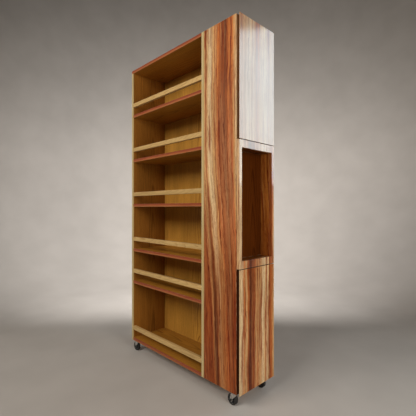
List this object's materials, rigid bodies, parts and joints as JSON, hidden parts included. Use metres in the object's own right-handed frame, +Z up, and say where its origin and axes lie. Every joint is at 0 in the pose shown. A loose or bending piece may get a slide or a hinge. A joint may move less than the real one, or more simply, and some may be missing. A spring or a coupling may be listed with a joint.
{
  "type": "rolling pantry cart",
  "caption": "Tall shallow wooden shelf case with guard rails, a cupboard column with a niche between hinged doors at one end, and swivel casters below.",
  "frame": {"origin": "bottom centre of the whole cart, on the floor between the wheels", "axes": "+Z up, +X along the cart from the plain end to the door end, +Y from the open shelf face to the back"},
  "size_m": [1.026, 0.3084, 2.018],
  "materials": {
    "striped_wood": "satin lacquer",
    "shelf_wood": "satin lacquer",
    "rail_wood": "satin lacquer",
    "hinge_steel": "satin",
    "zinc_plate": "bright zinc",
    "dark_steel": "dark satin",
    "black_rubber": "matte",
    "grey_plastic": "matte",
    "catch_plastic": "matte"
  },
  "bodies": {
    "case": {"left_side_panel": "shelf_wood", "divider_panel": "shelf_wood", "top_board": "shelf_wood", "bottom_board": "shelf_wood", "shelf_1": "shelf_wood", "shelf_2": "shelf_wood", "shelf_3": "shelf_wood", "shelf_4": "shelf_wood", "shelf_5": "shelf_wood", "back_panel": "shelf_wood", "guard_rail_1": "rail_wood", "guard_rail_2": "rail_wood", "guard_rail_3": "rail_wood", "guard_rail_4": "rail_wood", "guard_rail_5": "rail_wood", "guard_rail_6": "rail_wood", "column_front_panel": "striped_wood", "column_back_panel": "striped_wood", "column_top_board": "shelf_wood", "column_bottom_board": "shelf_wood", "niche_floor": "shelf_wood", "niche_ceiling": "shelf_wood", "niche_back": "striped_wood", "niche_frame": "striped_wood", "lower_door_bottom_hinge_case_leaf": "hinge_steel", "lower_door_bottom_hinge_pin": "hinge_steel", "lower_door_top_hinge_case_leaf": "hinge_steel", "lower_door_top_hinge_pin": "hinge_steel", "upper_door_bottom_hinge_case_leaf": "hinge_steel", "upper_door_bottom_hinge_pin": "hinge_steel", "upper_door_top_hinge_case_leaf": "hinge_steel", "upper_door_top_hinge_pin": "hinge_steel", "lower_door_magnetic_catch": "catch_plastic", "upper_door_magnetic_catch": "catch_plastic", "front_left_caster_plate": "zinc_plate", "front_right_caster_plate": "zinc_plate", "back_left_caster_plate": "zinc_plate", "back_right_caster_plate": "zinc_plate"},
    "lower_door": {"lower_door": "striped_wood", "lower_door_bottom_hinge_door_leaf": "hinge_steel", "lower_door_top_hinge_door_leaf": "hinge_steel"},
    "upper_door": {"upper_door": "striped_wood", "upper_door_bottom_hinge_door_leaf": "hinge_steel", "upper_door_top_hinge_door_leaf": "hinge_steel"},
    "front_left_fork": {"front_left_caster_fork": "zinc_plate", "front_left_caster_axle": "dark_steel"},
    "front_left_wheel": {"front_left_caster_hub": "grey_plastic", "front_left_caster_tyre": "black_rubber"},
    "front_right_fork": {"front_right_caster_fork": "zinc_plate", "front_right_caster_axle": "dark_steel"},
    "front_right_wheel": {"front_right_caster_hub": "grey_plastic", "front_right_caster_tyre": "black_rubber"},
    "back_left_fork": {"back_left_caster_fork": "zinc_plate", "back_left_caster_axle": "dark_steel"},
    "back_left_wheel": {"back_left_caster_hub": "grey_plastic", "back_left_caster_tyre": "black_rubber"},
    "back_right_fork": {"back_right_caster_fork": "zinc_plate", "back_right_caster_axle": "dark_steel"},
    "back_right_wheel": {"back_right_caster_hub": "grey_plastic", "back_right_caster_tyre": "black_rubber"}
  },
  "joints": [
    {"name": "lower_door_hinge", "type": "hinge", "parent": "case", "child": "lower_door", "pos_m": [0.494, 0.15032, 0.078], "axis": [0, 0, 1], "range_deg": [0, 180]},
    {"name": "upper_door_hinge", "type": "hinge", "parent": "case", "child": "upper_door", "pos_m": [0.494, 0.15032, 1.381], "axis": [0, 0, 1], "range_deg": [0, 180]},
    {"name": "front_left_swivel", "type": "hinge", "parent": "case", "child": "front_left_fork", "pos_m": [-0.461, -0.12418, 0.068], "axis": [0, 0, 1], "continuous": true},
    {"name": "front_left_roll", "type": "hinge", "parent": "front_left_fork", "child": "front_left_wheel", "pos_m": [-0.483, -0.12418, 0.03], "axis": [0, 1, 0], "continuous": true},
    {"name": "front_right_swivel", "type": "hinge", "parent": "case", "child": "front_right_fork", "pos_m": [0.465, -0.12418, 0.068], "axis": [0, 0, 1], "continuous": true},
    {"name": "front_right_roll", "type": "hinge", "parent": "front_right_fork", "child": "front_right_wheel", "pos_m": [0.443, -0.12418, 0.03], "axis": [0, 1, 0], "continuous": true},
    {"name": "back_left_swivel", "type": "hinge", "parent": "case", "child": "back_left_fork", "pos_m": [-0.461, 0.11582, 0.068], "axis": [0, 0, 1], "continuous": true},
    {"name": "back_left_roll", "type": "hinge", "parent": "back_left_fork", "child": "back_left_wheel", "pos_m": [-0.483, 0.11582, 0.03], "axis": [0, 1, 0], "continuous": true},
    {"name": "back_right_swivel", "type": "hinge", "parent": "case", "child": "back_right_fork", "pos_m": [0.465, 0.11582, 0.068], "axis": [0, 0, 1], "continuous": true},
    {"name": "back_right_roll", "type": "hinge", "parent": "back_right_fork", "child": "back_right_wheel", "pos_m": [0.443, 0.11582, 0.03], "axis": [0, 1, 0], "continuous": true}
  ]
}
